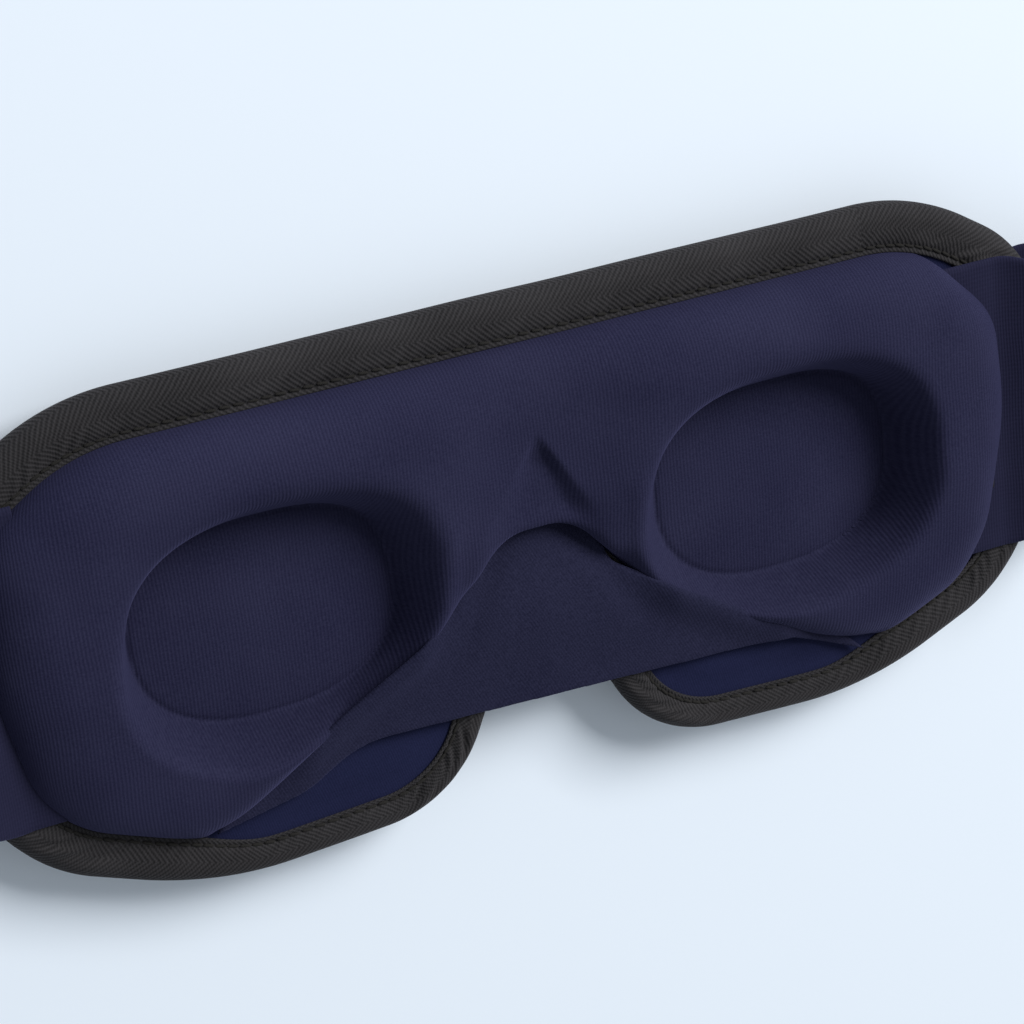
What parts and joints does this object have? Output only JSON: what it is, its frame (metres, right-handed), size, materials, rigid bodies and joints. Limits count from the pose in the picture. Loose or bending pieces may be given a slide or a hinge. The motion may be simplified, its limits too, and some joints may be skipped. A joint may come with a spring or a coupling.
{
  "type": "contoured sleep mask",
  "caption": "Contoured fabric sleep mask with moulded eye cups, a folded nose flap, bound edges and wide elastic straps closed by hook-and-loop.",
  "frame": {"origin": "centre of the bounding box's bottom face, on the table the mask lies on", "axes": "+X along the mask to the wearer's left hand end, +Y towards the brow edge, +Z out of the wearer's side"},
  "size_m": [0.25, 0.0978, 0.023],
  "materials": {
    "cover_knit": "soft brushed knit",
    "foam": "open-cell foam",
    "blackout_film": "dense black woven layer",
    "facing_jersey": "smooth blue jersey",
    "herringbone_tape": "woven herringbone",
    "stitch_thread": "spun polyester thread",
    "lining_knit": "fine ribbed knit with slight sheen",
    "strap_elastic": "fine cross-ribbed elastic",
    "flap_jersey": "fine brushed jersey",
    "hook_tape": "moulded hooks",
    "loop_tape": "brushed loop pile"
  },
  "bodies": {
    "mask": {"front_cover": "cover_knit", "front_foam": "foam", "blackout_layer": "blackout_film", "inner_facing": "facing_jersey", "binding_tape": "herringbone_tape", "binding_seam_inner": "stitch_thread", "binding_seam_outer": "stitch_thread", "contour_foam": "foam", "contour_lining": "lining_knit", "strap_root_right": "strap_elastic", "strap_root_left": "strap_elastic", "strap_seam_right": "stitch_thread", "strap_seam_left": "stitch_thread", "flap_wing_right": "flap_jersey", "flap_wing_left": "flap_jersey"},
    "strap_right": {"strap_bend_right": "strap_elastic", "strap_band_right": "strap_elastic", "hook_tab": "hook_tape", "hook_tab_seam": "stitch_thread"},
    "strap_left": {"strap_bend_left": "strap_elastic", "strap_band_left": "strap_elastic", "strap_end_hem": "strap_elastic", "loop_patch": "loop_tape"},
    "nose_flap": {"nose_flap": "flap_jersey"}
  },
  "joints": [
    {"name": "strap_right_swing", "type": "hinge", "parent": "mask", "child": "strap_right", "pos_m": [0.115, 0.003, 0.01], "axis": [0, -1, 0], "range_deg": [0, 175], "deforming": ["strap_bend_right"]},
    {"name": "strap_left_swing", "type": "hinge", "parent": "mask", "child": "strap_left", "pos_m": [-0.115, 0.003, 0.01], "axis": [0, 1, 0], "range_deg": [0, 175], "deforming": ["strap_bend_left"]},
    {"name": "nose_flap_lift", "type": "hinge", "parent": "mask", "child": "nose_flap", "pos_m": [0, 0.0034, 0.0126], "axis": [-1, 0, 0], "range_deg": [0, 18]}
  ]
}
